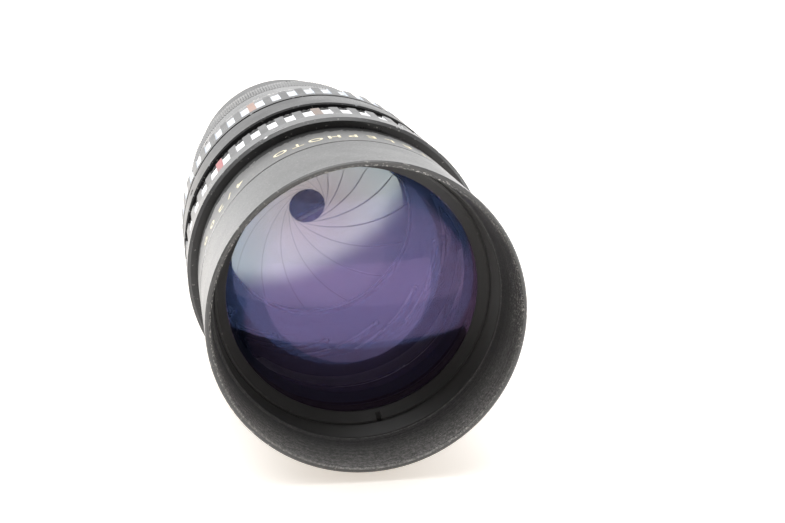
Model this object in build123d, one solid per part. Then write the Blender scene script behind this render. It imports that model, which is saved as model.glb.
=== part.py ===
from build123d import *
import math
import os

# A 200 mm f/4 preset telephoto lens with a screw-in hood, as an assembly of separate pieces.
# Every piece is drawn about the optical axis in millimetres, with z counted back from the
# hood's rim. lay_down() then puts it in the part's frame: the axis lies along Y, the hood
# faces -Y, +Z is up and the origin is the centre of the mount's flange face.
# The lens is drawn focused on infinity with its iris stopped down to f/22.

# Stations along the axis, counted back from the hood's rim
HOOD_END = 23.1
NOSE_START = 13.85
RIBS_END = 19.35
BARREL_END = 40.9
APERTURE_RING_START = 41.2
APERTURE_RING_END = 57.3
PRESET_RING_START = 57.6
PRESET_RING_END = 60.9
FOCUS_RING_START = 65.0
FOCUS_RING_END = 94.0
FRONT_TUBE_END = 97.0
FIXED_START = 98.2
FIXED_END = 126.2
INDEX_RING_START = 110.3
INDEX_RING_END = 125.0
LOCK_RING_START = 126.3
LOCK_RING_END = 137.2
THREAD_SEAT = 163.0
FLANGE = 168.0
MOUNT_THREAD_END = 172.6

# Radii
HOOD_R = 32.5
PARTING_LIP_R = 32.1
GRIP_R = 34.7
PRESET_R = 34.2
FRONT_TUBE_R = 31.0
FRONT_TUBE_BORE = 29.2
CELL_R = 27.0
GUIDE_BORE = 27.6
GUIDE_R = 28.8
FIXED_R = 31.0
INDEX_R = 31.2
MOUNT_BARREL_R = 27.8
MOUNT_THREAD_R = 21.0
RUNNING_GAP = 0.2
SNUG_GAP = 0.05

# Zebra grips and the fine knurl
FLAT_COUNT = 50
FLAT_WIDTH = 2.3
FLAT_DEPTH = 0.6
APERTURE_FLATS_START = 47.6
FOCUS_FLATS_START = 82.0
KNURL_COUNT = 240
KNURL_DEPTH = 0.35
RIB_COUNT = 8
RIB_DEPTH = 0.3

# Glass: each element is (front vertex, front radius, rear vertex, rear radius, clear radius
# in front, clear radius behind, edge radius). A radius is positive when its centre lies behind.
FRONT_GLASS = (15.2, 62.1, 24.2, -406.4, 27.25, 27.25, 29.0)
SECOND_GLASS = (25.0, 50.9, 31.5, 119.9, 25.5, 24.5, 26.6)
THIRD_GLASS = (38.0, -124.2, 40.5, 37.5, 21.5, 20.3, 23.0)
REAR_GLASS = (78.0, -2920.0, 82.0, -105.0, 17.0, 17.0, 18.0)

# Iris
BLADE_COUNT = 15
IRIS_OPENING = 17.0
PIVOT_CIRCLE = 21.0
BLADE_INNER_R = 17.3
BLADE_OUTER_R = 22.8
CLOSED_HOLE_R = 3.15
BLADE_THICKNESS = 0.06
BLADE_TILT = 0.1
BLADE_TILT_DIRECTION = 130.0
BLADE_LENGTH_ANGLE = 74.0
BLADE_PIVOT_Z = 64.9
BLADE_SWING = 2 * math.degrees(math.asin((BLADE_INNER_R - CLOSED_HOLE_R) / (2 * PIVOT_CIRCLE)))
DRIVE_PIN_DISTANCE = 4.5
DRIVE_PIN_DIRECTION = 50.0
PIVOT_PIN_R = 0.5
DRIVE_PIN_R = 0.35
PIN_GAP = 0.1
PLATE_START = 63.2
PLATE_END = 64.2
CAM_START = 62.0
CAM_END = 63.0
CAM_R = 25.5

# Joints
FOCUS_TURN = 270.0
FOCUS_TRAVEL = 17.4
LINK_ANGLE = -64.8
LINK_Z = 55.0
LINK_R = 1.0
STOP_Z = 100.5
GRUB_Z = 162.0
FOCUS_GRUB_Z = 71.5
FOCUS_GRUB_ANGLE = 80.0
INDEX_SCREW_Z = 121.0
KEY_START = 89.0
KEY_SCREW_Z = 92.5
DETENT_Z = 59.2
DETENT_ANGLE = 20.0
SPANNER_ANGLE = 78.6


def turned(*outline):
    """A round piece from the (radius, z) corners of its half section."""
    return revolve(Plane.XZ * make_face(Polyline(*outline, close=True)), Axis.Z)


def tube(inner, outer, start, end):
    """A plain tube between two stations."""
    return turned((inner, start), (outer, start), (outer, end), (inner, end))


def arc_block(inner, outer, start, end, first_angle, last_angle):
    """The part of a tube between two angles about the axis."""
    corners = ((inner, start), (outer, start), (outer, end), (inner, end))
    section = Plane.XZ * make_face(Polyline(*corners, close=True))
    return Rot(0, 0, first_angle) * revolve(section, Axis.Z, last_angle - first_angle)


def radial_pin(radius, inner, outer, station, angle):
    """A round pin that points away from the axis."""
    return Rot(0, 0, angle) * Pos(inner, 0, station) * Rot(0, 90, 0) * Cylinder(
        radius, outer - inner, align=(Align.CENTER, Align.CENTER, Align.MIN))


def around(piece, count, first_angle=0.0):
    """Copies of a piece, evenly spaced about the axis."""
    return [Rot(0, 0, first_angle + 360 * i / count) * piece for i in range(count)]


def sag(radius, height):
    """How far a spherical face has fallen back at a height above the axis."""
    return radius - math.copysign(math.sqrt(radius ** 2 - height ** 2), radius)


def glass(front_z, front_r, rear_z, rear_r, front_clear, rear_clear, edge):
    """A lens element: two polished faces, a flat annulus on each side and a ground edge."""
    front_edge = (front_clear, front_z + sag(front_r, front_clear))
    rear_edge = (rear_clear, rear_z + sag(rear_r, rear_clear))
    front_mid = (front_clear / 2, front_z + sag(front_r, front_clear / 2))
    rear_mid = (rear_clear / 2, rear_z + sag(rear_r, rear_clear / 2))
    outline = [
        ThreePointArc((0, front_z), front_mid, front_edge),
        Line(front_edge, (edge, front_edge[1])),
        Line((edge, front_edge[1]), (edge, rear_edge[1])),
        Line((edge, rear_edge[1]), rear_edge),
        ThreePointArc(rear_edge, rear_mid, (0, rear_z)),
        Line((0, rear_z), (0, front_z)),
    ]
    return revolve(Plane.XZ * make_face(outline), Axis.Z)


def front_annulus(element):
    return element[0] + sag(element[1], element[4])


def rear_annulus(element):
    return element[2] + sag(element[3], element[5])


def cut_flats(ring, start, end):
    """Mill the bright flats of a zebra grip between two stations."""
    floor = GRIP_R - FLAT_DEPTH
    cutter = Pos(floor + FLAT_DEPTH, 0, (start + end) / 2) * Box(2 * FLAT_DEPTH, FLAT_WIDTH, end - start)
    return ring - around(cutter, FLAT_COUNT)


def knurled(inner, outer, start, end, count, depth):
    """A ring with straight V teeth and a small chamfer at each end."""
    corners = []
    for i in range(count):
        for radius, share in ((outer, 0.0), (outer - depth, 0.5)):
            angle = 2 * math.pi * (i + share) / count
            corners.append((radius * math.cos(angle), radius * math.sin(angle)))
    star = make_face(Polyline(*corners, close=True)) - Circle(inner)
    envelope = turned(
        (inner, start), (outer - depth, start), (outer, start + depth),
        (outer, end - depth), (outer - depth, end), (inner, end))
    return (Pos(0, 0, start) * extrude(star, end - start)) & envelope


# Fixed group: everything that stays still on the camera

def make_mount_thread_ring():
    """The M42 x 1 male thread, with a seating flange inside the mount barrel."""
    return turned(
        (18.8, 161.0), (22.4, 161.0), (22.4, THREAD_SEAT), (20.5, THREAD_SEAT), (20.5, FLANGE),
        (MOUNT_THREAD_R, FLANGE), (MOUNT_THREAD_R, MOUNT_THREAD_END - 0.4),
        (MOUNT_THREAD_R - 0.4, MOUNT_THREAD_END), (18.8, MOUNT_THREAD_END))


def make_mount_barrel():
    """The tapered rear barrel that carries the mount and ends in the flange face."""
    body = turned(
        (24.2, FIXED_END), (28.9, FIXED_END), (28.9, 137.5), (30.3, 137.5), (30.3, 139.5),
        (MOUNT_BARREL_R, 150.0), (MOUNT_BARREL_R, FLANGE - 0.4), (MOUNT_BARREL_R - 0.4, FLANGE),
        (MOUNT_THREAD_R + RUNNING_GAP, FLANGE), (MOUNT_THREAD_R + RUNNING_GAP, THREAD_SEAT + SNUG_GAP),
        (22.45, THREAD_SEAT + SNUG_GAP), (22.45, 152.0), (24.2, 148.0))
    return body - around(radial_pin(1.0, 22.0, 29.0, GRUB_Z, 0), 3, 30)


def make_mount_grub_screws():
    """Three grub screws that clamp the thread ring; loosening them turns the mount to its mark."""
    screw = radial_pin(0.95, 22.42, 27.3, GRUB_Z, 0)
    slot = Pos(27.3, 0, GRUB_Z) * Box(1.2, 0.4, 2.4)
    return Compound(around(screw - slot, 3, 30))


def make_mount_lock_ring():
    """The fine-toothed ring that locks the interchangeable mount barrel."""
    return knurled(28.95, INDEX_R, LOCK_RING_START, LOCK_RING_END, KNURL_COUNT, KNURL_DEPTH)


def make_rear_barrel():
    """The fixed barrel: a journal for the focus ring in front, and the index ring's seat."""
    body = turned(
        (28.85, FIXED_START), (FIXED_R, FIXED_START), (FIXED_R, 110.0), (29.9, 110.0),
        (29.9, FIXED_END), (26.5, FIXED_END), (26.5, 112.0 + SNUG_GAP), (28.85, 112.0 + SNUG_GAP))
    body -= tube(30.4, 32.0, 103.2, 104.8)
    body -= radial_pin(0.9, 28.0, 32.0, STOP_Z, 90)
    return body - around(radial_pin(0.65, 28.5, 31.0, INDEX_SCREW_Z, 0), 3, 90)


def make_guide_tube():
    """The fixed inner tube with three straight slots that keep the moving tube from turning."""
    slot = arc_block(GUIDE_BORE - 1, GUIDE_R + 1, KEY_START - FOCUS_TRAVEL - 2, 96.8, -6.2, 6.2)
    return tube(GUIDE_BORE, GUIDE_R, 66.0, 112.0) - around(slot, 3, 30)


def make_rear_baffle():
    """A stepped, tapering tube that keeps stray light off the film."""
    return turned(
        (23.6, 128.0), (24.15, 128.0), (24.15, 146.0), (22.0, 151.0), (22.0, 160.8), (19.4, 160.8),
        (19.4, 160.3), (21.5, 160.3), (21.5, 156.0), (20.2, 156.0), (20.2, 155.5), (21.5, 155.5),
        (21.5, 151.2), (21.2, 151.2), (21.2, 150.7), (21.7, 150.7), (23.6, 145.8), (23.6, 138.0),
        (22.4, 138.0), (22.4, 137.5), (23.6, 137.5))


def make_index_ring():
    """The fixed ring with the focus index and the depth-of-field marks."""
    ring = turned(
        (29.95, INDEX_RING_START), (INDEX_R, INDEX_RING_START), (INDEX_R, INDEX_RING_END - 0.3),
        (INDEX_R - 0.3, INDEX_RING_END), (29.95, INDEX_RING_END))
    return ring - around(radial_pin(0.65, 29.0, 32.0, INDEX_SCREW_Z, 0), 3, 90)


def make_index_ring_screws():
    """Three countersunk pins that hold the index ring."""
    screw = radial_pin(0.6, 28.9, 31.05, INDEX_SCREW_Z, 0)
    slot = Pos(31.05, 0, INDEX_SCREW_Z) * Box(0.6, 0.3, 2.0)
    return Compound(around(screw - slot, 3, 90))


def make_focus_retaining_ring():
    """A split ring in the fixed barrel's groove that holds the focus nut in place."""
    ring = tube(30.45, 31.5, 103.3, 104.7)
    return ring - arc_block(30.0, 32.0, 103.0, 105.0, -94, -86)


def make_focus_stop_screw():
    """The screw that stops the focus ring at both ends of its turn."""
    return radial_pin(0.85, 28.9, 31.5, STOP_Z, 90)


# Focus group: turns on the fixed barrel

def make_focus_ring():
    """The wide grip: a smooth band, a fine groove and a row of milled flats."""
    ring = turned(
        (32.6, FOCUS_RING_START), (GRIP_R - 0.4, FOCUS_RING_START), (GRIP_R, FOCUS_RING_START + 0.4),
        (GRIP_R, 77.4), (GRIP_R - 0.5, 77.7), (GRIP_R - 0.5, 78.9), (GRIP_R, 79.2),
        (GRIP_R, FOCUS_RING_END - 0.5), (GRIP_R - 0.5, FOCUS_RING_END), (32.6, FOCUS_RING_END))
    ring = cut_flats(ring, FOCUS_FLATS_START, FOCUS_RING_END)
    return ring - around(radial_pin(0.85, 32.0, 35.0, FOCUS_GRUB_Z, 0), 3, FOCUS_GRUB_ANGLE)


def make_focus_nut():
    """The nut of the focusing thread, with a skirt that turns on the fixed barrel."""
    nut = turned(
        (FRONT_TUBE_R + RUNNING_GAP, 67.0), (32.55, 67.0), (32.55, FOCUS_RING_END - 0.1), (32.0, FOCUS_RING_END - 0.1),
        (32.0, 109.6), (FRONT_TUBE_R + RUNNING_GAP, 109.6))
    nut -= tube(31.0, 31.7, 103.0, 105.0)
    nut -= around(radial_pin(0.85, 31.7, 33.0, FOCUS_GRUB_Z, 0), 3, FOCUS_GRUB_ANGLE)
    return nut - arc_block(31.0, 31.75, 99.4, 101.6, 90 - 4, 90 + FOCUS_TURN + 4)


def make_distance_scale_ring():
    """The ring with the distance scale, cemented on the nut's skirt."""
    return turned(
        (32.0 + SNUG_GAP, FOCUS_RING_END + 0.2), (33.0, FOCUS_RING_END + 0.2), (33.0, 104.5),
        (32.3, 109.9), (32.0 + SNUG_GAP, 109.9))


def make_focus_grub_screws():
    """Three grub screws that fix the focus ring to the nut."""
    screw = radial_pin(0.8, 31.8, 34.2, FOCUS_GRUB_Z, 0)
    slot = Pos(34.2, 0, FOCUS_GRUB_Z) * Box(0.8, 0.35, 2.0)
    return Compound(around(screw - slot, 3, FOCUS_GRUB_ANGLE))


# Front group: slides forward as the lens is focused closer

def link_window():
    """Where the link screw passes through a wall: stations and angles over its whole travel."""
    return LINK_Z - 1.3, LINK_Z + 1.3, LINK_ANGLE - BLADE_SWING - 3, LINK_ANGLE + 3


def make_hood():
    """The screw-in hood: a thin wall with a slight taper inside and a skirt over the nose."""
    return turned(
        (31.35, 0.4), (31.7, 0.0), (32.2, 0.0), (HOOD_R, 0.3), (HOOD_R, HOOD_END - 0.2),
        (HOOD_R - 0.2, HOOD_END), (31.45, HOOD_END), (31.45, NOSE_START - 0.05),
        (30.45, NOSE_START - 0.05), (30.75, NOSE_START - 0.35))


def anti_glare_ribs():
    """The ribbed cone in front of the front element, as (radius, z) corners from its back end on."""
    pitch = (RIBS_END - NOSE_START) / RIB_COUNT
    corners = []
    for i in range(RIB_COUNT):
        crest = 29.8 + 0.5 * i / RIB_COUNT
        corners += [(crest, RIBS_END - i * pitch), (crest + RIB_DEPTH, RIBS_END - (i + 0.5) * pitch)]
    return corners


def make_front_barrel():
    """The name band, with the nose that holds the hood in front and the cell's seat inside."""
    seat = front_annulus(FRONT_GLASS) + 0.2
    return turned(
        (30.3, NOSE_START), (31.4, NOSE_START), (31.4, HOOD_END), (PARTING_LIP_R, HOOD_END + 0.05),
        (PARTING_LIP_R, 23.85), (PARTING_LIP_R - 0.2, 24.0), (HOOD_R - 0.1, 24.0), (HOOD_R, 24.15),
        (HOOD_R, BARREL_END), (FRONT_TUBE_R + SNUG_GAP, BARREL_END), (FRONT_TUBE_R + SNUG_GAP, 38.0),
        (27.1, 38.0), (27.1, 34.5), (29.05, 34.5), (29.05, seat),
        (29.8, seat), *anti_glare_ribs())


def make_front_retaining_ring():
    """The coned ring that holds the front element, with two spanner slots."""
    seat = front_annulus(FRONT_GLASS)
    opening = FRONT_GLASS[4] + SNUG_GAP
    ring = turned(
        (29.7, RIBS_END), (29.2, RIBS_END), (opening, seat - 0.3), (opening, seat), (29.7, seat))
    slot = Pos(28.4, 0, 19.8) * Box(4.0, 1.1, 1.6)
    return ring - around(slot, 2, SPANNER_ANGLE)


def make_front_cell():
    """The stepped tube that holds the second and third elements in line."""
    shelf = rear_annulus(SECOND_GLASS)
    third_seat = front_annulus(THIRD_GLASS)
    third_back = rear_annulus(THIRD_GLASS)
    return turned(
        (27.4, rear_annulus(FRONT_GLASS)), (29.0, rear_annulus(FRONT_GLASS)), (29.0, 34.45),
        (CELL_R, 34.45), (CELL_R, 49.0), (25.75, 49.0), (25.75, 52.5), (24.05, 52.5),
        (24.05, third_back), (23.05, third_back), (23.05, third_seat), (21.7, third_seat),
        (24.6, shelf), (26.65, shelf), (26.65, 31.5), (27.4, 31.5))


def make_second_element_ring():
    """The threaded ring in front of the second element."""
    seat = front_annulus(SECOND_GLASS)
    return turned((25.7, seat), (25.7, 29.5), (27.35, 29.5), (27.35, 31.45), (26.6, 31.45), (26.6, seat))


def make_third_element_ring():
    """The threaded ring behind the third element."""
    return tube(20.6, 24.0, rear_annulus(THIRD_GLASS), 49.0)


def make_front_tube():
    """The moving tube: it carries the control rings and runs in the focusing thread."""
    body = tube(FRONT_TUBE_BORE, FRONT_TUBE_R, 38.05, FRONT_TUBE_END)
    body -= arc_block(28.0, 32.0, *link_window())
    body -= radial_pin(0.8, 29.3, 32.0, DETENT_Z, DETENT_ANGLE)
    return body - around(radial_pin(0.8, 29.0, 32.0, KEY_SCREW_Z, 0), 3, 30)


def make_iris_housing():
    """The tube round the iris, screwed to the front cell, with a shoulder for the pivot plate."""
    body = turned(
        (25.8, 49.05), (CELL_R, 49.05), (CELL_R, 71.0), (25.8, 71.0), (25.8, 65.2), (25.3, 65.2),
        (25.3, PLATE_END + SNUG_GAP), (25.8, PLATE_END + SNUG_GAP))
    return body - arc_block(25.0, 28.0, *link_window())


def make_rear_cell():
    """The cell of the rear element, screwed into the back of the iris housing."""
    shelf = front_annulus(REAR_GLASS)
    return turned(
        (IRIS_OPENING, 68.7), (25.75, 68.7), (25.75, 71.05), (CELL_R, 71.05), (CELL_R, 72.5),
        (20.0, 73.5), (20.0, 86.0), (18.85, 86.0), (18.85, 80.6), (18.05, 80.6), (18.05, shelf),
        (IRIS_OPENING, shelf))


def make_rear_element_ring():
    """The threaded ring behind the rear element."""
    seat = rear_annulus(REAR_GLASS)
    return turned((17.2, seat), (18.0, seat), (18.0, 80.65), (18.8, 80.65), (18.8, 83.0), (17.2, 83.0))


def make_guide_keys():
    """Three keys inside the moving tube that run in the guide tube's slots."""
    key = arc_block(GUIDE_BORE + 0.3, FRONT_TUBE_BORE - SNUG_GAP, KEY_START, 96.0, -5.5, 5.5)
    return Compound(around(key - radial_pin(0.8, 28.2, 30.0, KEY_SCREW_Z, 0), 3, 30))


def make_guide_key_screws():
    """The screws that hold the guide keys."""
    return Compound(around(radial_pin(0.75, 28.3, 30.9, KEY_SCREW_Z, 0), 3, 30))


def make_control_ring_nut():
    """The ring that keeps the preset and aperture rings on the moving tube."""
    ring = tube(FRONT_TUBE_R + SNUG_GAP, 33.2, 61.2, 62.8)
    slot = Pos(33.2, 0, 62.8) * Box(1.6, 1.2, 1.4)
    return ring - around(slot, 4, 45)


def make_detent_ball():
    """The ball of the preset ring's click stop."""
    return Rot(0, 0, DETENT_ANGLE) * Pos(30.3, 0, DETENT_Z) * Sphere(0.65)


def make_detent_spring():
    """The pad spring under the detent ball, a small coil drawn as its outer shape."""
    return radial_pin(0.6, 29.3, 29.63, DETENT_Z, DETENT_ANGLE)


# Control rings

def make_aperture_ring():
    """The grip that opens and closes the iris: a smooth lip and a row of milled flats."""
    bore = FRONT_TUBE_R + RUNNING_GAP
    ring = turned(
        (bore, APERTURE_RING_START), (GRIP_R - 0.7, APERTURE_RING_START),
        (GRIP_R, APERTURE_RING_START + 0.7), (GRIP_R, APERTURE_RING_END),
        (bore, APERTURE_RING_END), (bore, 53.0), (33.0, 52.0), (33.0, 45.0), (bore, 44.0))
    ring = cut_flats(ring, APERTURE_FLATS_START, APERTURE_RING_END)
    return ring - radial_pin(LINK_R + SNUG_GAP, 31.0, 36.0, LINK_Z, LINK_ANGLE)


def make_aperture_link_screw():
    """The screw that joins the aperture ring to the iris cam ring through two slotted walls."""
    screw = radial_pin(LINK_R, 24.6, 33.4, LINK_Z, 0)
    slot = Pos(33.4, 0, LINK_Z) * Box(0.8, 0.4, 3.0)
    return Rot(0, 0, LINK_ANGLE) * (screw - slot)


def preset_stop_angles():
    """How far the iris has opened from f/22 at each marked f-number."""
    angles = []
    for f_number in (22, 16, 11, 8, 5.6, 4):
        hole = IRIS_OPENING * 4 / f_number
        half = math.asin((BLADE_INNER_R - max(hole, CLOSED_HOLE_R)) / (2 * PIVOT_CIRCLE))
        angles.append(BLADE_SWING - 2 * math.degrees(half))
    return angles


def make_preset_ring():
    """The narrow click-stopped ring that sets how far the aperture ring can close."""
    ring = knurled(
        FRONT_TUBE_R + RUNNING_GAP, PRESET_R, PRESET_RING_START, PRESET_RING_END, 150, 0.25)
    dimple = Pos(31.9, 0, DETENT_Z) * Sphere(1.0)
    return ring - [Rot(0, 0, DETENT_ANGLE + angle) * dimple for angle in preset_stop_angles()]


# Iris

def drive_pin_centre(swing):
    """Where the first blade's drive pin stands, with the blade swung in from fully open."""
    direction = math.radians(DRIVE_PIN_DIRECTION + swing)
    return (
        PIVOT_CIRCLE + DRIVE_PIN_DISTANCE * math.cos(direction),
        DRIVE_PIN_DISTANCE * math.sin(direction))


def arc_slot(centre, radius, first_angle, last_angle, half_width, start, end):
    """A slot along an arc, as a solid to cut with."""
    path = CenterArc(centre, radius, first_angle, last_angle - first_angle)
    return Pos(0, 0, start) * extrude(SlotArc(path, 2 * half_width), end - start)


def make_iris_cam_ring():
    """The turning ring: one curved slot for each blade, and a sleeve for the link screw."""
    closed_x, closed_y = drive_pin_centre(BLADE_SWING)
    slot = arc_slot(
        (closed_x - PIVOT_CIRCLE, closed_y), PIVOT_CIRCLE, -0.5, BLADE_SWING + 0.5,
        DRIVE_PIN_R + PIN_GAP, CAM_START - 1, CAM_END + 1)
    ring = turned(
        (IRIS_OPENING, CAM_START), (24.3, CAM_START), (24.3, 53.0), (CAM_R, 53.0), (CAM_R, CAM_END),
        (IRIS_OPENING, CAM_END))
    return ring - around(slot, BLADE_COUNT) - radial_pin(LINK_R + SNUG_GAP, 23.0, 27.0, LINK_Z, LINK_ANGLE)


def make_iris_pivot_plate():
    """The fixed plate: a pivot hole and a window for the drive pin of each blade."""
    hole = Pos(PIVOT_CIRCLE, 0, PLATE_START) * Cylinder(PIVOT_PIN_R + PIN_GAP, 4)
    window = arc_slot(
        (PIVOT_CIRCLE, 0), DRIVE_PIN_DISTANCE, DRIVE_PIN_DIRECTION - 3,
        DRIVE_PIN_DIRECTION + BLADE_SWING + 3, DRIVE_PIN_R + 2 * PIN_GAP, PLATE_START - 1, PLATE_END + 1)
    plate = tube(IRIS_OPENING, 25.75, PLATE_START, PLATE_END)
    return plate - around(hole, BLADE_COUNT) - around(window, BLADE_COUNT)


def blade_outline():
    """The first blade, flat and fully open: a curved leaf with a lobe for its drive pin."""
    middle = (BLADE_INNER_R + BLADE_OUTER_R) / 2
    leaf = SlotArc(CenterArc((0, 0), middle, 0, BLADE_LENGTH_ANGLE), BLADE_OUTER_R - BLADE_INNER_R)
    near_end = Pos(PIVOT_CIRCLE - 5, -5, 0) * Rectangle(12, 10)
    pin_x, pin_y = drive_pin_centre(0)
    root_circle = Edge.make_circle(1.9, Plane((PIVOT_CIRCLE, 0, 0)))
    pin_circle = Edge.make_circle(1.1, Plane((pin_x, pin_y, 0)))
    lobe = make_hull([root_circle, pin_circle])
    return leaf - near_end + Pos(PIVOT_CIRCLE, 0, 0) * Circle(1.9) + lobe


def make_blade():
    """The first blade at f/22. Its leaf leans a little, so that the leaves lie on each other."""
    pivot = Pos(PIVOT_CIRCLE, 0, 0)
    leaf_column = pivot * Rot(0, 0, BLADE_SWING) * pivot.inverse() * extrude(blade_outline(), 12, both=True)
    lean = Rot(0, 0, BLADE_TILT_DIRECTION + BLADE_SWING) * Rot(0, -math.degrees(math.atan(BLADE_TILT)), 0)
    slab = pivot * lean * Box(90, 90, BLADE_THICKNESS)
    leaf = leaf_column & slab
    pin_x, pin_y = drive_pin_centre(BLADE_SWING)
    down = (Align.CENTER, Align.CENTER, Align.MAX)
    pivot_pin = pivot * Cylinder(PIVOT_PIN_R, BLADE_PIVOT_Z - PLATE_START, align=down)
    leaf_rise = BLADE_TILT * DRIVE_PIN_DISTANCE * math.cos(
        math.radians(BLADE_TILT_DIRECTION - DRIVE_PIN_DIRECTION))
    drive_pin = Pos(pin_x, pin_y, leaf_rise) * Cylinder(
        DRIVE_PIN_R, BLADE_PIVOT_Z + leaf_rise - CAM_START, align=down)
    return Pos(0, 0, BLADE_PIVOT_Z) * (leaf + pivot_pin + drive_pin)


def make_pieces():
    """Every piece by name, drawn about the optical axis."""
    pieces = {
        "mount_thread_ring": make_mount_thread_ring(),
        "mount_barrel": make_mount_barrel(),
        "mount_grub_screws": make_mount_grub_screws(),
        "mount_lock_ring": make_mount_lock_ring(),
        "rear_barrel": make_rear_barrel(),
        "guide_tube": make_guide_tube(),
        "rear_baffle": make_rear_baffle(),
        "index_ring": make_index_ring(),
        "index_ring_screws": make_index_ring_screws(),
        "focus_retaining_ring": make_focus_retaining_ring(),
        "focus_stop_screw": make_focus_stop_screw(),
        "focus_ring": make_focus_ring(),
        "focus_nut": make_focus_nut(),
        "distance_scale_ring": make_distance_scale_ring(),
        "focus_grub_screws": make_focus_grub_screws(),
        "hood": make_hood(),
        "front_barrel": make_front_barrel(),
        "front_retaining_ring": make_front_retaining_ring(),
        "front_element": glass(*FRONT_GLASS),
        "front_cell": make_front_cell(),
        "second_element": glass(*SECOND_GLASS),
        "second_element_ring": make_second_element_ring(),
        "third_element": glass(*THIRD_GLASS),
        "third_element_ring": make_third_element_ring(),
        "front_tube": make_front_tube(),
        "iris_housing": make_iris_housing(),
        "iris_pivot_plate": make_iris_pivot_plate(),
        "rear_cell": make_rear_cell(),
        "rear_element": glass(*REAR_GLASS),
        "rear_element_ring": make_rear_element_ring(),
        "guide_keys": make_guide_keys(),
        "guide_key_screws": make_guide_key_screws(),
        "control_ring_nut": make_control_ring_nut(),
        "detent_ball": make_detent_ball(),
        "detent_spring": make_detent_spring(),
        "aperture_ring": make_aperture_ring(),
        "aperture_link_screw": make_aperture_link_screw(),
        "iris_cam_ring": make_iris_cam_ring(),
        "preset_ring": make_preset_ring(),
    }
    for number, blade in enumerate(around(make_blade(), BLADE_COUNT), start=1):
        pieces[f"iris_blade_{number:02d}"] = blade
    return pieces


def lay_down(piece):
    """Turn the optical axis along Y and put the flange face's centre at the origin."""
    return Pos(0, -FLANGE, 0) * Rot(-90, 0, 0) * piece


os.makedirs("parts", exist_ok=True)
for name, piece in make_pieces().items():
    export_step(lay_down(piece), f"parts/{name}.step")
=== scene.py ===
import math

import bmesh
import bpy
from mathutils import Matrix, Vector


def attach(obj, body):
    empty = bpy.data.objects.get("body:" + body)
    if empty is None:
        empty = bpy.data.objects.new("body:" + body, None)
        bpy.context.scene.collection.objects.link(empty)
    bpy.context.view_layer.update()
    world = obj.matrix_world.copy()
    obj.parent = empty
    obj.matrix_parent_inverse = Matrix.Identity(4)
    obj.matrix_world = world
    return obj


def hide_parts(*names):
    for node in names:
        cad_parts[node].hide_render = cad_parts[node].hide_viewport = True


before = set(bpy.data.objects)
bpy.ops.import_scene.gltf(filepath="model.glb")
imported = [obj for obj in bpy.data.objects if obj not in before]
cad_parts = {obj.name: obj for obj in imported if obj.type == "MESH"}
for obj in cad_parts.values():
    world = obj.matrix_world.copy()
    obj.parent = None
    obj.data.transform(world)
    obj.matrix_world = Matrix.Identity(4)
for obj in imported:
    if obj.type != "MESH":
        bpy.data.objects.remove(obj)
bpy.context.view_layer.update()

# Stations count in mm behind the hood's rim along the optical axis, and radii in mm from that axis.
MM = 0.001
FLANGE_BEHIND_RIM = 168.0
GRIP_RADIUS = 34.7
RIM_RADIUS = 32.4
HOOD_BORE_RADIUS = 31.72
NAME_BAND_RADIUS = 32.5
DISTANCE_RING_RADIUS = 33.0
INDEX_RING_RADIUS = 31.2
PAINT_PROUD = 0.02
DUST = (0.42, 0.40, 0.36)


def row_y(station):
    """Row-frame Y of a station."""
    return (station - FLANGE_BEHIND_RIM) * MM


# ---------------------------------------------------------------- node helpers

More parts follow.
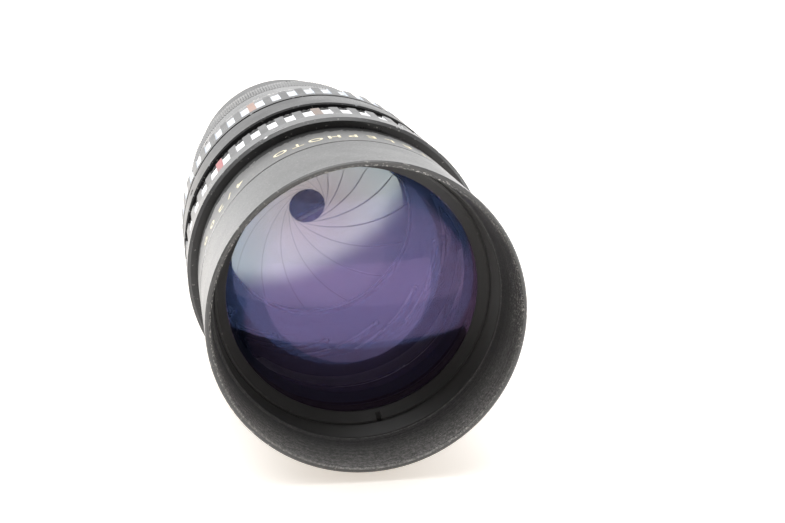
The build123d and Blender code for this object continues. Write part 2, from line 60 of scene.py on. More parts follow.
class Nodes:
    """A small builder for one material's node tree."""

    def __init__(self, name):
        self.material = bpy.data.materials.new(name)
        self.material.use_nodes = True
        self.tree = self.material.node_tree
        self.tree.nodes.clear()
        self.output = self.add("ShaderNodeOutputMaterial")
        self._object = None

    def add(self, kind, **settings):
        node = self.tree.nodes.new(kind)
        for key, value in settings.items():
            setattr(node, key, value)
        return node

    def feed(self, socket, value):
        if isinstance(value, bpy.types.NodeSocket):
            self.tree.links.new(value, socket)
        else:
            socket.default_value = value

    def math(self, operation, a, b=0.0):
        node = self.add("ShaderNodeMath", operation=operation)
        self.feed(node.inputs[0], a)
        self.feed(node.inputs[1], b)
        return node.outputs[0]

    def product(self, first, *others):
        for other in others:
            first = self.math("MULTIPLY", first, other)
        return first

    def gap(self, value, target):
        """Distance between two values."""
        return self.math("ABSOLUTE", self.math("SUBTRACT", value, target))

    def length(self, a, b):
        return self.math("SQRT", self.math("ADD", self.math("MULTIPLY", a, a), self.math("MULTIPLY", b, b)))

    def place(self):
        """Object coordinates."""
        if self._object is None:
            self._object = self.add("ShaderNodeTexCoord").outputs["Object"]
        return self._object

    def xyz(self):
        node = self.add("ShaderNodeSeparateXYZ")
        self.feed(node.inputs[0], self.place())
        return node.outputs

    def radius_mm(self):
        """Distance from the optical axis in mm."""
        x, _, z = self.xyz()
        return self.math("MULTIPLY", self.length(x, z), 1000.0)

    def station_mm(self):
        """Distance behind the hood's rim in mm."""
        return self.math("ADD", self.math("MULTIPLY", self.xyz()[1], 1000.0), FLANGE_BEHIND_RIM)

    def turn(self):
        """Angle round the optical axis in radians: 0 on top, growing towards +X."""
        x, _, z = self.xyz()
        return self.math("ARCTAN2", x, z)

    def between(self, value, low, high, soft):
        """1 where value lies between low and high, with soft edges."""
        return self.math("MULTIPLY", self.step(value, low, soft), self.step(value, high, -soft))

    def step(self, value, edge, soft):
        """0 below the edge and 1 above it, or the other way with a negative softness."""
        span = abs(soft)
        ends = (0.0, 1.0) if soft > 0 else (1.0, 0.0)
        return self.ramp(value, edge - span, edge + span, *ends)

    def ramp(self, value, low, high, to_low=0.0, to_high=1.0):
        node = self.add("ShaderNodeMapRange", clamp=True)
        self.feed(node.inputs["Value"], value)
        for name, number in zip(("From Min", "From Max", "To Min", "To Max"), (low, high, to_low, to_high)):
            node.inputs[name].default_value = number
        return node.outputs[0]

    def noise(self, scale, detail=3.0, roughness=0.55, offset=0.0):
        vector = self.place()
        if offset:
            mapping = self.add("ShaderNodeMapping")
            self.feed(mapping.inputs["Vector"], vector)
            mapping.inputs["Location"].default_value = (offset, offset, offset)
            vector = mapping.outputs[0]
        node = self.add("ShaderNodeTexNoise")
        self.feed(node.inputs["Vector"], vector)
        node.inputs["Scale"].default_value = scale
        node.inputs["Detail"].default_value = detail
        node.inputs["Roughness"].default_value = roughness
        return node.outputs[0]

    def polar_noise(self, along, around, detail):
        """Noise stretched along or round the barrel: along is per mm, around per radian."""
        combine = self.add("ShaderNodeCombineXYZ")
        self.feed(combine.inputs[0], self.math("MULTIPLY", self.station_mm(), along))
        turn = self.turn()
        self.feed(combine.inputs[1], self.math("MULTIPLY", self.math("SINE", turn), around))
        self.feed(combine.inputs[2], self.math("MULTIPLY", self.math("COSINE", turn), around))
        node = self.add("ShaderNodeTexNoise")
        self.feed(node.inputs["Vector"], combine.outputs[0])
        node.inputs["Scale"].default_value = 1.0
        node.inputs["Detail"].default_value = detail
        return node.outputs[0]

    def mix_colour(self, factor, a, b):
        node = self.add("ShaderNodeMix", data_type="RGBA")
        self.feed(node.inputs["Factor"], factor)
        self.feed(node.inputs[6], a)
        self.feed(node.inputs[7], b)
        return node.outputs[2]

    def mix_value(self, factor, a, b):
        node = self.add("ShaderNodeMix", data_type="FLOAT")
        self.feed(node.inputs["Factor"], factor)
        self.feed(node.inputs[2], a)
        self.feed(node.inputs[3], b)
        return node.outputs[0]

    def bump(self, height, strength, distance, normal=None):
        node = self.add("ShaderNodeBump")
        self.feed(node.inputs["Height"], height)
        node.inputs["Strength"].default_value = strength
        node.inputs["Distance"].default_value = distance
        if normal is not None:
            self.feed(node.inputs["Normal"], normal)
        return node.outputs[0]

    def turned_height(self, fine, lines):
        """Fine grain with turning lines."""
        return self.math("ADD", self.math("MULTIPLY", fine, 0.5), self.math("MULTIPLY", lines, 0.6))

    def principled(self, **sockets):
        node = self.add("ShaderNodeBsdfPrincipled")
        for name, value in sockets.items():
            self.feed(node.inputs[name.replace("_", " ")], value)
        return node

    def finish(self, shader):
        self.tree.links.new(shader.outputs[0], self.output.inputs["Surface"])
        return self.material


def rgb(r, g, b):
    return (r, g, b, 1.0)


# ---------------------------------------------------------------- materials

def black_finish(name, base, rough, grain=0.3, dust=0.0, wear_edges=(), warm=0.0, specular=0.5, bore=0.0):
    """Anodised or painted black metal: fine grain, faint turning lines, dust, and edges worn bright.
    wear_edges holds (station, radius, width, amount). Within the radius bore it is dead black."""
    n = Nodes(name)
    cloud = n.noise(90.0, 4.0, 0.6)
    fine = n.noise(2600.0, 2.0, 0.5)
    colour = n.mix_colour(cloud, rgb(base * 0.75, base * 0.75, base * 0.78),
                          rgb(base * 1.3 + warm, base * 1.28 + warm * 0.8, base * 1.27 + warm * 0.5))
    roughness = n.math("ADD", n.ramp(cloud, 0.3, 0.7, rough - 0.06, rough + 0.07),
                       n.ramp(fine, 0.3, 0.7, -0.04, 0.04))
    if dust:
        specks = n.ramp(n.noise(1900.0, 1.0, 0.4, offset=3.0), 0.66, 0.74)
        patches = n.ramp(n.noise(70.0, 3.0, 0.6, offset=7.0), 0.4, 0.65, 0.15, 1.0)
        amount = n.product(specks, patches, dust)
        colour = n.mix_colour(amount, colour, rgb(*DUST))
        roughness = n.mix_value(amount, roughness, 0.8)
    worn = 0.0
    if wear_edges:
        nicks = n.ramp(n.noise(620.0, 4.0, 0.7, offset=11.0), 0.60, 0.66)
        rub = n.ramp(n.noise(55.0, 3.0, 0.6, offset=5.0), 0.42, 0.62, 0.35, 1.0)
        total = 0.0
        for station, radius, width, amount in wear_edges:
            away = n.math("ADD", n.gap(n.station_mm(), station), n.gap(n.radius_mm(), radius))
            total = n.math("MAXIMUM", total, n.math("MULTIPLY", n.step(away, width, -width * 0.6), amount))
        worn = n.product(total, nicks, rub)
        colour = n.mix_colour(worn, colour, rgb(0.62, 0.60, 0.57))
        roughness = n.mix_value(worn, roughness, 0.34)
    if bore:
        within = n.step(n.radius_mm(), bore, -0.05)
        colour = n.mix_colour(within, colour, rgb(0.003, 0.003, 0.003))
        roughness = n.mix_value(within, roughness, 0.85)
        specular = n.mix_value(within, specular, 0.02)
    height = n.turned_height(fine, n.polar_noise(14.0, 0.6, 1.0))
    return n.finish(n.principled(Base_Color=colour, Roughness=roughness, Metallic=worn,
                                 Specular_IOR_Level=specular, Normal=n.bump(height, grain, 0.00006)))


def hood_finish():
    """Satin black outside. Inside it is duller, with turning lines and dust specks towards the rim. The
    lower wall
    near the rim is lighter: painted light, partly dust. The rim's edge is nicked down to bare metal."""
    n = Nodes("hood_black")
    station, radius = n.station_mm(), n.radius_mm()
    cloud = n.noise(90.0, 4.0, 0.6)
    fine = n.noise(2600.0, 2.0, 0.5)
    lines = n.polar_noise(6.0, 0.35, 3.0)
    inside = n.step(radius, HOOD_BORE_RADIUS, -0.05)

    wall = n.mix_colour(n.ramp(lines, 0.35, 0.65), rgb(0.030, 0.031, 0.032), rgb(0.074, 0.075, 0.076))
    # Painted light on the lower wall near the rim, mixed with dust: lighter low down and towards the rim.
    low_side = n.ramp(n.xyz()[2], 0.004, -0.024)
    lit_low_wall_and_dust = n.product(n.ramp(station, 1.0, 12.0, 1.0, 0.25), low_side,
                        n.ramp(lines, 0.38, 0.62, 0.35, 1.0),
                        n.ramp(n.noise(1500.0, 3.0, 0.7, offset=9.0), 0.40, 0.60, 0.35, 1.0))
    wall = n.mix_colour(lit_low_wall_and_dust, wall, rgb(0.33, 0.32, 0.31))
    specks = n.ramp(n.noise(2300.0, 2.0, 0.6, offset=3.0), 0.53, 0.64)
    near_rim = n.ramp(station, 1.0, 9.0, 1.0, 0.15)
    patches = n.ramp(n.noise(70.0, 3.0, 0.6, offset=7.0), 0.38, 0.62, 0.25, 1.0)
    wall = n.mix_colour(n.product(specks, near_rim, patches, 0.8), wall, rgb(0.55, 0.53, 0.50))

    colour = n.mix_colour(cloud, rgb(0.017, 0.017, 0.017), rgb(0.029, 0.029, 0.029))
    outer_dust = n.math("MULTIPLY", n.ramp(n.noise(1900.0, 1.0, 0.4, offset=5.0), 0.68, 0.76), 0.35)
    colour = n.mix_colour(outer_dust, colour, rgb(*DUST))
    colour = n.mix_colour(inside, colour, wall)

    nicks = n.ramp(n.noise(560.0, 4.0, 0.7, offset=11.0), 0.59, 0.65)
    rub = n.ramp(n.noise(38.0, 3.0, 0.6, offset=5.0), 0.46, 0.58, 0.15, 1.0)
    edge = n.step(n.math("ADD", n.gap(station, 0.1), n.gap(radius, RIM_RADIUS)), 0.28, -0.16)
    bare = n.product(nicks, rub, edge)
    colour = n.mix_colour(bare, colour, rgb(0.66, 0.63, 0.60))
    roughness = n.math("ADD", n.ramp(cloud, 0.3, 0.7, 0.28, 0.40), n.ramp(fine, 0.3, 0.7, -0.04, 0.04))
    roughness = n.mix_value(inside, roughness, 0.62)
    return n.finish(n.principled(Base_Color=colour, Roughness=n.mix_value(bare, roughness, 0.34),
                                 Metallic=bare, Specular_IOR_Level=n.mix_value(inside, 1.0, 0.4),
                                 Normal=n.bump(n.turned_height(fine, lines), 0.35, 0.00006)))


def name_band_finish():
    """Glossy black band. Towards the control ring it is dull and darker, with a ragged border: a painted
    reflection of the ring's dark front.
    """
    n = Nodes("name_band_black")
    cloud = n.noise(90.0, 4.0, 0.6)
    speckle = n.noise(1300.0, 2.0, 0.6, offset=3.0)
    fringe = n.ramp(n.noise(420.0, 3.0, 0.7, offset=8.0), 0.3, 0.7, -1.3, 1.3)
    reflection_strip_from, bore = 36.6, 31.6
    # Painted reflection: a dark, dull strip with a ragged border in front of the control ring.
    dull_reflection_strip = n.step(n.math("ADD", n.station_mm(), fringe), reflection_strip_from, 0.25)
    inside = n.step(n.radius_mm(), bore, -0.1)
    specks = n.math("MULTIPLY", n.ramp(speckle, 0.60, 0.72), 0.5)
    colour = n.mix_colour(cloud, rgb(0.022, 0.022, 0.022), rgb(0.036, 0.036, 0.035))
    colour = n.mix_colour(specks, colour, rgb(0.30, 0.28, 0.24))
    colour = n.mix_colour(dull_reflection_strip, colour, rgb(0.005, 0.005, 0.005))
    colour = n.mix_colour(inside, colour, rgb(0.010, 0.010, 0.010))
    roughness = n.mix_value(dull_reflection_strip, n.ramp(speckle, 0.3, 0.7, 0.30, 0.38), 0.6)
    roughness = n.mix_value(inside, roughness, 0.5)
    return n.finish(n.principled(Base_Color=colour, Roughness=roughness,
                                 Specular_IOR_Level=n.mix_value(dull_reflection_strip, 1.0, 0.1),
                                 Normal=n.bump(speckle, 0.12, 0.00004)))


RIDGE_HALF_ANGLE = math.radians(1.75)
FLAT_INNER_R, FLAT_OUTER_R = 34.0, 34.6


def zebra_finish(name, flats, lip_wear, lip_shine, silver_low, silver_high, paint):
    """Black anodised ridges with bright flats milled between them. flats holds the two stations that
    the flats run between. paint holds (angle, colour, end station) of painted ridges."""
    n = Nodes(name)
    station, radius, turn = n.station_mm(), n.radius_mm(), n.turn()
    flat = n.product(n.between(station, *flats, 0.05), n.between(radius, FLAT_INNER_R, FLAT_OUTER_R, 0.05))
    cloud = n.noise(110.0, 4.0, 0.6)
    fine = n.noise(2400.0, 2.0, 0.5)
    mill = n.polar_noise(5.0, 90.0, 1.0)
    black = n.mix_colour(cloud, rgb(0.012, 0.012, 0.013), rgb(0.024, 0.024, 0.025))
    for angle_deg, colour, end in paint:
        ridge = n.step(n.gap(turn, math.radians(angle_deg)), RIDGE_HALF_ANGLE, -0.004)
        chips = n.ramp(n.noise(500.0, 3.0, 0.6, offset=2.0), 0.3, 0.42, 0.25, 1.0)
        mark = n.product(ridge, n.between(station, flats[0], end, 0.1), chips, n.step(radius, 34.3, 0.05))
        black = n.mix_colour(mark, black, rgb(*colour))
    silver = n.mix_colour(n.ramp(mill, 0.35, 0.65), rgb(*silver_low), rgb(*silver_high))
    edge_wear = n.ramp(n.noise(420.0, 4.0, 0.7, offset=9.0), 0.60, 0.67)
    lips = 0.0
    for edge in lip_wear:
        lips = n.math("MAXIMUM", lips, n.step(n.gap(station, edge), 0.16, -0.12))
    worn = n.product(lips, edge_wear, n.step(radius, 34.4, 0.1))
    bright = n.math("MAXIMUM", flat, worn)
    specks = n.ramp(n.noise(1500.0, 1.0, 0.4, offset=4.0), 0.68, 0.76, 0.0, 0.35)
    colour = n.mix_colour(bright, n.mix_colour(specks, black, rgb(0.4, 0.39, 0.36)), silver)
    roughness = n.mix_value(bright, n.ramp(cloud, 0.3, 0.7, 0.26, 0.36), n.ramp(mill, 0.3, 0.7, 0.26, 0.4))
    front_lip = n.step(station, flats[0] - 0.3, -0.2)
    height = n.mix_value(flat, n.math("MULTIPLY", fine, 0.4), mill)
    return n.finish(n.principled(Base_Color=colour, Roughness=roughness, Metallic=bright,
                                 Specular_IOR_Level=n.mix_value(front_lip, 0.32, lip_shine),
                                 Normal=n.bump(height, 0.3, 0.00005)))


THREAD_OUTSIDE_R = 20.8


def bare_metal(name, colour, rough, grease=0.0, thread_pitch=0.0):
    """Turned metal with fine lines round the axis, and the crests of a thread where it has a pitch."""
    n = Nodes(name)
    lines = n.polar_noise(18.0, 0.8, 2.0)
    cloud = n.noise(120.0, 4.0, 0.6)
    dark = [c * (0.78 - grease * 0.3) for c in colour]
    tint = n.mix_colour(n.ramp(cloud, 0.3, 0.75), rgb(*dark), rgb(*colour))
    roughness = n.math("ADD", n.ramp(lines, 0.3, 0.7, rough - 0.08, rough + 0.08),
                       n.ramp(cloud, 0.3, 0.7, -0.03, 0.05))
    normal = n.bump(lines, 0.35, 0.00004)
    if thread_pitch:
        crest = n.math("PINGPONG", n.station_mm(), thread_pitch / 2)
        outside = n.step(n.radius_mm(), THREAD_OUTSIDE_R, 0.05)
        normal = n.bump(n.math("MULTIPLY", crest, outside), 1.0, 0.0006, normal)
    return n.finish(n.principled(Base_Color=tint, Roughness=roughness, Metallic=1.0, Normal=normal))


BLADE_COUNT = 15
BLADE_SWING = math.radians(39.367)
PIVOT_CIRCLE = 21.0
BLADE_INNER_R, BLADE_OUTER_R = 17.3, 22.8
PIVOT_PLATE_BORE = 19.5


def blade_finish(number):
    """Thin satin steel leaf, polished by sliding, with painted shade along its rims where the leaves
    overlap.
    The leaf is an arc about a point beside the axis. Its colour turns from warm near the opening to cool
    farther out, and painted shade makes it black where it lies under the plate with its pivots."""
    n = Nodes(f"blade_steel_{number:02d}")
    reach_x = PIVOT_CIRCLE - PIVOT_CIRCLE * math.cos(BLADE_SWING)
    reach_y = -PIVOT_CIRCLE * math.sin(BLADE_SWING)
    spin = 2 * math.pi * (number - 1) / BLADE_COUNT
    centre_x = reach_x * math.cos(spin) - reach_y * math.sin(spin)
    centre_z = -(reach_x * math.sin(spin) + reach_y * math.cos(spin))
    x, _, z = n.xyz()
    reach = n.length(n.math("SUBTRACT", x, centre_x * MM), n.math("SUBTRACT", z, centre_z * MM))
    reach_mm = n.math("MULTIPLY", reach, 1000.0)
    # Painted shade along the leaf's inner and outer rims, where the leaves overlap.
    edge_shade = n.math("MAXIMUM", n.step(reach_mm, BLADE_INNER_R + 0.10, -0.06),
                 n.step(reach_mm, BLADE_OUTER_R - 0.10, 0.06))
    rub = n.noise(60.0, 4.0, 0.6)
    fine = n.noise(900.0, 3.0, 0.6)
    polish = n.ramp(rub, 0.3, 0.7)
    out = n.radius_mm()
    warm = n.mix_colour(polish, rgb(0.54, 0.46, 0.455), rgb(0.67, 0.58, 0.565))
    cool = n.mix_colour(polish, rgb(0.52, 0.575, 0.59), rgb(0.64, 0.69, 0.70))
    steel = n.mix_colour(n.ramp(out, 4.0, 15.0), warm, cool)
    colour = n.mix_colour(n.math("MULTIPLY", edge_shade, 0.55), steel, rgb(0.16, 0.15, 0.16))
    # Painted shade: black where the leaf lies under the pivot plate.
    colour = n.mix_colour(n.step(out, PIVOT_PLATE_BORE, 0.3), colour, rgb(0.03, 0.03, 0.032))
    roughness = n.math("ADD", n.ramp(rub, 0.3, 0.7, 0.5, 0.62), n.ramp(fine, 0.3, 0.7, -0.03, 0.04))
    return n.finish(n.principled(Base_Color=colour, Roughness=roughness, Metallic=0.3,
                                 Normal=n.bump(fine, 0.15, 0.00003)))


def paint_finish(name, colour):
    """Dull enamel rubbed into engraved figures."""
    n = Nodes(name)
    worn = n.ramp(n.noise(900.0, 3.0, 0.6), 0.3, 0.45, 0.55, 1.0)
    tint = n.mix_colour(worn, rgb(*[c * 0.35 for c in colour]), rgb(*colour))
    return n.finish(n.principled(Base_Color=tint, Roughness=n.ramp(worn, 0.5, 1.0, 0.7, 0.5)))


def coated_glass(name, reflection, tint, edge_radius):
    """Clear glass with a coating that colours its reflections, and a black ground edge. Lamps pass
    straight through the clear part."""
    n = Nodes(name)
    smear = n.noise(45.0, 5.0, 0.6)
    ground = n.step(n.radius_mm(), edge_radius, 0.05)
    glass = n.principled(Base_Color=rgb(*tint), Roughness=n.ramp(smear, 0.55, 0.8, 0.0, 0.012),
                         Transmission_Weight=1.0, Specular_Tint=rgb(*reflection), IOR=1.62)
    black = n.principled(Base_Color=rgb(0.012, 0.012, 0.013), Roughness=n.ramp(smear, 0.3, 0.7, 0.5, 0.65))
    clear = n.add("ShaderNodeBsdfTransparent")
    n.feed(clear.inputs[0], rgb(*[0.5 + 0.5 * c for c in tint]))
    shadow = n.add("ShaderNodeLightPath").outputs["Is Shadow Ray"]
    solid, mixed = n.add("ShaderNodeMixShader"), n.add("ShaderNodeMixShader")
    lit = n.math("MULTIPLY", shadow, n.math("SUBTRACT", 1.0, ground))
    for node, inputs in ((solid, (ground, glass.outputs[0], black.outputs[0])),
                         (mixed, (lit, solid.outputs[0], clear.outputs[0]))):
        for socket, value in zip(node.inputs, inputs):
            n.feed(socket, value)
    return n.finish(mixed)


def dress(material, *names):
    for name in names:
        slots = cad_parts[name].data.materials
        slots.clear()
        slots.append(material)


dress(hood_finish(), "hood")
dress(name_band_finish(), "front_barrel")
dress(zebra_finish("aperture_zebra", (47.6, 57.2), (41.9, 47.6, 57.3), 0.7,
                   (0.72, 0.72, 0.73), (0.88, 0.88, 0.89),
                   ((-50.4, (0.32, 0.012, 0.016), 57.2), (-7.2, (0.14, 0.08, 0.05), 57.2))),
      "aperture_ring")
dress(zebra_finish("focus_zebra", (82.0, 93.9), (65.4, 77.4, 79.2, 93.6), 0.16,
                   (0.50, 0.53, 0.57), (0.66, 0.69, 0.73), ((-28.8, (0.30, 0.15, 0.10), 93.4),)),
      "focus_ring")
dress(black_finish("preset_black", 0.006, 0.55, specular=0.12,
                   wear_edges=((57.9, 34.1, 0.4, 0.8), (60.6, 34.1, 0.4, 0.8))), "preset_ring")
dress(black_finish("nut_black", 0.008, 0.6, specular=0.15), "control_ring_nut")
dress(black_finish("knurl_black", 0.03, 0.28, 0.2, specular=0.8,
                   wear_edges=((126.7, 31.1, 0.5, 0.7), (136.8, 31.1, 0.5, 0.7))), "mount_lock_ring")
dress(black_finish("scale_black", 0.024, 0.26, 0.2, specular=0.8,
                   wear_edges=((104.5, 33.0, 0.4, 0.8), (97.3, 33.0, 0.3, 0.5))), "distance_scale_ring")
dress(black_finish("index_black", 0.024, 0.26, 0.2, specular=0.8,
                   wear_edges=((110.4, 31.2, 0.3, 0.6), (124.8, 31.1, 0.4, 0.6))), "index_ring")
dress(black_finish("rear_black", 0.021, 0.38, dust=0.2,
                   wear_edges=((137.5, 30.3, 0.4, 0.7), (139.5, 30.3, 0.4, 0.8), (150.0, 27.8, 0.4, 0.4),
                               (167.8, 27.6, 0.5, 0.9))), "mount_barrel")
dress(black_finish("seat_black", 0.018, 0.5), "rear_barrel")
dress(black_finish("inner_black", 0.006, 0.62, 0.4, specular=0.3),
      "front_cell", "second_element_ring", "third_element_ring")
dress(black_finish("deep_black", 0.003, 0.85, specular=0.02), "iris_housing", "iris_cam_ring",
      "rear_cell", "rear_baffle", "rear_element_ring", "guide_tube")
dress(black_finish("tube_black", 0.016, 0.36, bore=30.5), "front_tube")
dress(black_finish("retaining_black", 0.026, 0.5, 0.5, warm=0.003, wear_edges=((19.4, 29.2, 0.3, 0.15),)),
      "front_retaining_ring")
dress(bare_metal("plate_grey", (0.10, 0.10, 0.105), 0.5), "iris_pivot_plate")
dress(bare_metal("brass_metal", (0.66, 0.49, 0.24), 0.32, grease=0.3), "focus_nut", "guide_keys")
dress(bare_metal("mount_metal", (0.56, 0.55, 0.53), 0.34, thread_pitch=1.0), "mount_thread_ring")
dress(bare_metal("screw_metal", (0.22, 0.22, 0.225), 0.36), "mount_grub_screws", "index_ring_screws",
      "focus_retaining_ring", "focus_stop_screw", "focus_grub_screws", "guide_key_screws",
      "aperture_link_screw", "detent_ball", "detent_spring")
for blade in range(1, BLADE_COUNT + 1):
    dress(blade_finish(blade), f"iris_blade_{blade:02d}")


# ---------------------------------------------------------------- glass

def sag(radius, height):
    """How far a spherical face has fallen back at a height above the axis."""
    return radius - math.copysign(math.sqrt(radius ** 2 - height ** 2), radius)


def lens_element(node, coating, tint, front_z, front_r, rear_z, rear_r, front_clear, rear_clear, edge,
                 edge_radius):
    """The same element as the CAD's, turned with a fine even mesh so that its faces refract smoothly.
    Lengths are in mm: each face has a station and a radius of curvature, then come the two clear
    radii, the edge's radius and the radius beyond which the glass is ground black."""
    steps, around = 22, 144
    front = [(front_clear * k / steps, front_z + sag(front_r, front_clear * k / steps))
             for k in range(1, steps + 1)]
    rear = [(rear_clear * k / steps, rear_z + sag(rear_r, rear_clear * k / steps))
            for k in range(steps, 0, -1)]
    profile = front + [(edge, front[-1][1]), (edge, rear[0][1])] + rear
    points = [(0.0, row_y(front_z), 0.0)]
    for radius, station in profile:
        for k in range(around):
            turn = 2 * math.pi * k / around
            points.append((radius * MM * math.sin(turn), row_y(station), radius * MM * math.cos(turn)))
    points.append((0.0, row_y(rear_z), 0.0))
    last, rings = len(points) - 1, len(profile)
    tail = 1 + (rings - 1) * around
    faces = []
    for k in range(around):
        after = (k + 1) % around
        faces.append((0, 1 + after, 1 + k))
        for ring in range(rings - 1):
            a, b = 1 + ring * around, 1 + (ring + 1) * around
            faces.append((a + k, a + after, b + after, b + k))
        faces.append((last, tail + k, tail + after))
    mesh = bpy.data.meshes.new(node + "_polished")
    mesh.from_pydata(points, [], faces)
    work = bmesh.new()
    work.from_mesh(mesh)
    bmesh.ops.recalc_face_normals(work, faces=work.faces[:])
    work.to_mesh(mesh)
    work.free()
    mesh.shade_smooth()
    mesh.set_sharp_from_angle(angle=math.radians(20))
    mesh.materials.append(coated_glass(node.replace("element", "glass"), coating, tint, edge_radius))
    ob = bpy.data.objects.new(node + "_polished", mesh)
    bpy.context.scene.collection.objects.link(ob)
    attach(ob, "front_group")
    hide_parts(node)


COOL_GLASS, CLEAR_GLASS = (0.97, 0.97, 0.985), (0.98, 0.98, 0.99)
lens_element("front_element", (0.56, 0.33, 0.70), COOL_GLASS,
             15.2, 62.1, 24.2, -406.4, 27.25, 27.25, 29.0, 28.0)
lens_element("second_element", (0.18, 0.30, 0.84), COOL_GLASS,
             25.0, 50.9, 31.5, 119.9, 25.5, 24.5, 26.6, 25.9)
lens_element("third_element", (0.46, 0.30, 0.62), CLEAR_GLASS,
             38.0, -124.2, 40.5, 37.5, 21.5, 20.3, 23.0, 21.8)
lens_element("rear_element", (0.34, 0.14, 0.26), CLEAR_GLASS,
             78.0, -2920.0, 82.0, -105.0, 17.0, 17.0, 18.0, 17.4)


# ---------------------------------------------------------------- engraved figures and marks

def wrap(mesh, radius, station, angle_deg):
    """Lay a flat mesh (mm, x to the reader's right, y towards the hood) on a ring of this radius. It is
    first cut into narrow strips, so that it bends."""
    strip, offset = 0.5, 0.013
    work = bmesh.new()
    work.from_mesh(mesh)
    reach = max(abs(v.co.x) for v in work.verts)
    for k in range(-int(reach / strip), int(reach / strip) + 1):
        bmesh.ops.bisect_plane(work, geom=work.verts[:] + work.edges[:] + work.faces[:],
                               plane_co=(k * strip + offset, 0, 0), plane_no=(1, 0, 0))
    for vertex in work.verts:
        turn = math.radians(angle_deg) - vertex.co.x / radius
        vertex.co = (radius * MM * math.sin(turn), row_y(station) - vertex.co.y * MM,
                     radius * MM * math.cos(turn))
    work.to_mesh(mesh)
    work.free()


def settle(name, mesh, radius, station, angle_deg, paint, body, slot):
    """Put a flat mesh on its ring, just proud of the metal."""
    wrap(mesh, radius + PAINT_PROUD, station, angle_deg)
    ob = bpy.data.objects.new(name, mesh)
    bpy.context.scene.collection.objects.link(ob)
    mesh.materials.clear()
    mesh.materials.append(paint)
    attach(ob, body)


def figure(name, text, height, *where, weight=0.0):
    """A short word or number, centred on its place. Capital letters stand this many mm tall."""
    curve = bpy.data.curves.new(name, "FONT")
    curve.body = text
    curve.size = height / 0.7
    curve.align_x, curve.align_y = "CENTER", "CENTER"
    curve.offset = weight
    curve.resolution_u = 3
    holder = bpy.data.objects.new(name + "_text", curve)
    bpy.context.scene.collection.objects.link(holder)
    mesh = bpy.data.meshes.new_from_object(holder.evaluated_get(bpy.context.evaluated_depsgraph_get()))
    bpy.data.objects.remove(holder)
    mesh.name = name
    settle(name, mesh, *where)


def stroke(name, width, length, *where):
    """A straight engraved mark along the axis."""
    mesh = bpy.data.meshes.new(name)
    w, h = width / 2, length / 2
    mesh.from_pydata([(-w, -h, 0), (w, -h, 0), (w, h, 0), (-w, h, 0)], [], [(0, 1, 2, 3)])
    settle(name, mesh, *where)


FOCUS_TURN_DEG, NEAR_LIMIT_M, FOCAL_LENGTH_M = 270.0, 2.5, 0.2
gold = paint_finish("gold_paint", (0.78, 0.70, 0.48))
white = paint_finish("white_paint", (0.72, 0.71, 0.68))
orange = paint_finish("orange_paint", (0.60, 0.16, 0.05))


def inscription():
    """A generic name and the lens's rating, upside down for a reader in front of the lens."""
    height, station, first_angle, pitch = 3.0, 29.5, 30.0, 7.2
    marks = [(f"name_letter_{k + 1}", letter, first_angle - pitch * k)
             for k, letter in enumerate("TELEPHOTO")]
    rating = (("4", -46.8), ("/", -52.6), ("2", -58.4), ("0", -65.2), ("0", -72.0))
    marks += [(f"rating_figure_{k + 1}", text, angle) for k, (text, angle) in enumerate(rating)]
    for name, text, angle in marks:
        figure(name, text, height, NAME_BAND_RADIUS, station, angle, gold, "front_group", "gloss_black",
               weight=0.07)


def distance_mark(name, text, angle):
    """A figure on the distance scale, with its short line."""
    ring = (angle, white, "focus_group", "scale_alloy")
    figure(f"distance_{name}", text, 2.4, DISTANCE_RING_RADIUS, 97.8, *ring)
    stroke(f"distance_tick_{name}", 0.35, 1.6, DISTANCE_RING_RADIUS, 103.0, *ring)


def scale_marks():
    """Figures and lines on the distance scale, and the index and depth marks on the index ring."""
    distance_mark("far", "\u221e", 0.0)
    for metres in (30, 15, 10, 7, 5, 4, 3, NEAR_LIMIT_M):
        angle = FOCUS_TURN_DEG * ((NEAR_LIMIT_M - FOCAL_LENGTH_M) / (metres - FOCAL_LENGTH_M))
        distance_mark(f"{metres:g}".replace(".", "_"), f"{metres:g}", angle)
    fixed = ("camera_side", "scale_alloy")
    stroke("focus_index", 0.6, 5.0, INDEX_RING_RADIUS, 114.0, 0.0, orange, *fixed)
    for stop, spread in (("8", 7.0), ("11", 11.0), ("16", 17.0), ("22", 25.0)):
        for side, angle in (("left", -spread), ("right", spread)):
            ring = (angle, white, *fixed)
            stroke(f"depth_tick_{stop}_{side}", 0.3, 3.2, INDEX_RING_RADIUS, 113.0, *ring)
            figure(f"depth_{stop}_{side}", stop, 1.7, INDEX_RING_RADIUS, 117.2, *ring)


inscription()
scale_marks()


# ---------------------------------------------------------------- stage, light and camera

def floor():
    """A pale paper floor that the grip rings lie on. It glows a little, which softens the shadow."""
    mesh = bpy.data.meshes.new("floor")
    h = 3.0
    mesh.from_pydata([(-h, -h, 0), (h, -h, 0), (h, h, 0), (-h, h, 0)], [], [(0, 1, 2, 3)])
    ob = bpy.data.objects.new("floor", mesh)
    ob.location = (0, 0, -GRIP_RADIUS * MM)
    bpy.context.scene.collection.objects.link(ob)
    n = Nodes("floor_paper")
    tint = n.mix_colour(n.noise(6.0, 3.0, 0.5), rgb(0.70, 0.70, 0.70), rgb(0.714, 0.714, 0.714))
    mesh.materials.append(n.finish(n.principled(Base_Color=tint, Roughness=0.9, Emission_Strength=1.0,
                                                Emission_Color=rgb(0.58, 0.525, 0.465))))


def lamp(kind, name, place, target, power, hidden=(), **settings):
    """A lamp turned to its target. hidden names the kinds of ray that don't see it."""
    light = bpy.data.lights.new(name, kind)
    light.energy = power
    ob = bpy.data.objects.new(name, light)
    for key, value in settings.items():
        setattr(light, key, value)
    for ray in hidden:
        setattr(ob, "visible_" + ray, False)
    ob.location = place
    ob.rotation_mode = "QUATERNION"
    ob.rotation_quaternion = (Vector(target) - Vector(place)).to_track_quat("-Z", "Y")
    bpy.context.scene.collection.objects.link(ob)


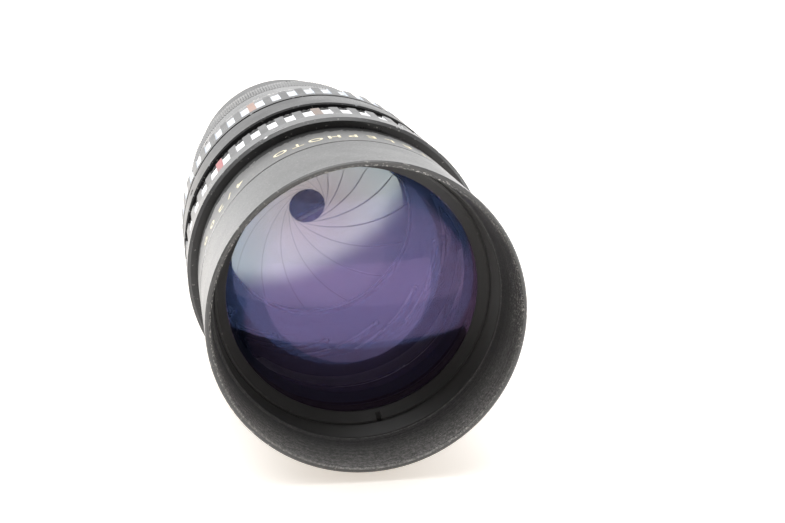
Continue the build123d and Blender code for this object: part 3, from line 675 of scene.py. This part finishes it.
def studio_world():
    """A white sweep behind and above the lens, and a darker room where the camera stands."""
    world = bpy.data.worlds.new("studio")
    bpy.context.scene.world = world
    world.use_nodes = True
    tree = world.node_tree
    background = tree.nodes["Background"]
    direction = tree.nodes.new("ShaderNodeSeparateXYZ")
    tree.links.new(tree.nodes.new("ShaderNodeTexCoord").outputs["Generated"], direction.inputs[0])
    lean = tree.nodes.new("ShaderNodeMath")
    lean.operation = "MULTIPLY_ADD"
    lean.inputs[1].default_value = 0.5
    tree.links.new(direction.outputs[2], lean.inputs[0])
    tree.links.new(direction.outputs[1], lean.inputs[2])
    ramp = tree.nodes.new("ShaderNodeValToRGB")
    room, sweep = ramp.color_ramp.elements
    room.position, room.color = 0.0, rgb(0.10, 0.095, 0.09)
    sweep.position, sweep.color = 0.6, rgb(1.0, 1.0, 1.0)
    tree.links.new(lean.outputs[0], ramp.inputs[0])
    tree.links.new(ramp.outputs[0], background.inputs[0])
    background.inputs[1].default_value = 1.5


floor()
MIDDLE = (0, -0.15, 0)
lamp("AREA", "overhead", (-0.3, 0.1, 1.6), (0, -0.1, 0), 32.0, shape="RECTANGLE", size=2.0, size_y=2.0)
lamp("AREA", "fill", (0.8, -1.3, 0.9), MIDDLE, 4.0, ("glossy", "transmission"),
     shape="RECTANGLE", size=0.8, size_y=0.8)
for side, power in ((-0.8, 24.0), (0.8, 14.0)):
    lamp("AREA", "sheen", (side, 0.35, 0.2), MIDDLE, power, ("camera", "diffuse", "transmission"),
         shape="RECTANGLE", size=0.6, size_y=0.8)
# A narrow beam through the front glass lights the upper part of the iris.
lamp("SPOT", "glow", (0.12, -0.90, -0.02), (-0.0066, -0.103, 0.0120), 29.0, ("glossy", "transmission"),
     spot_size=math.radians(3.6), spot_blend=0.2, shadow_soft_size=0.002)
studio_world()
bpy.context.scene.view_settings.view_transform = "Standard"

camera = bpy.data.objects.new("camera", bpy.data.cameras.new("camera"))
camera.data.sensor_width = 36.0
camera.data.lens = 59.62
camera.data.clip_start = 0.01
camera.data.clip_end = 50.0
CAMERA_PLACE = (-0.04118, -0.41155, 0.07756)
LOOK_RIGHT, LOOK_DOWN, ROLL = math.radians(10.584), math.radians(14.759), math.radians(1.286)
camera.matrix_world = (
    Matrix.Translation(CAMERA_PLACE) @ Matrix.Rotation(-LOOK_RIGHT, 4, "Z")
    @ Matrix.Rotation(math.pi / 2 - LOOK_DOWN, 4, "X") @ Matrix.Rotation(ROLL, 4, "Z"))
bpy.context.scene.collection.objects.link(camera)
bpy.context.scene.camera = camera
